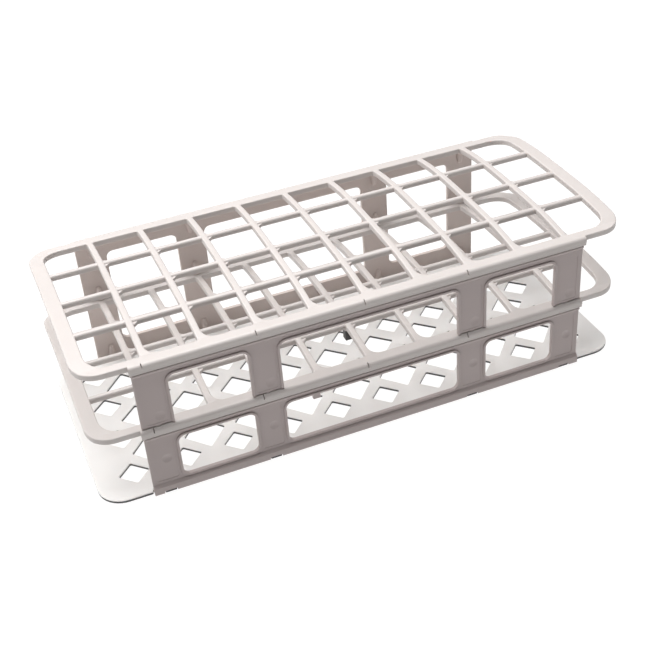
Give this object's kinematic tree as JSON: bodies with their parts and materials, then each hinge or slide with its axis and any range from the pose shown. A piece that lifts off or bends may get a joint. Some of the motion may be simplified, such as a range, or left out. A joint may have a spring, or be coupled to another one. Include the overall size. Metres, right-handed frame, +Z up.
{
  "type": "test tube rack",
  "caption": "Long white plastic rack with two open grid shelves over a diamond lattice base, held apart by windowed side walls, for standing test tubes.",
  "frame": {"origin": "centre of the footprint, on the surface the rack stands on", "axes": "+X along the length, +Y to the back, +Z up"},
  "size_m": [0.245, 0.1064, 0.0702],
  "materials": {
    "white_polypropylene": "satin moulded polypropylene, off-white"
  },
  "bodies": {
    "root": {"top_shelf": "white_polypropylene", "middle_shelf": "white_polypropylene", "bottom_shelf": "white_polypropylene", "front_upper_wall": "white_polypropylene", "front_lower_wall": "white_polypropylene", "back_upper_wall": "white_polypropylene", "back_lower_wall": "white_polypropylene"}
  },
  "joints": []
}
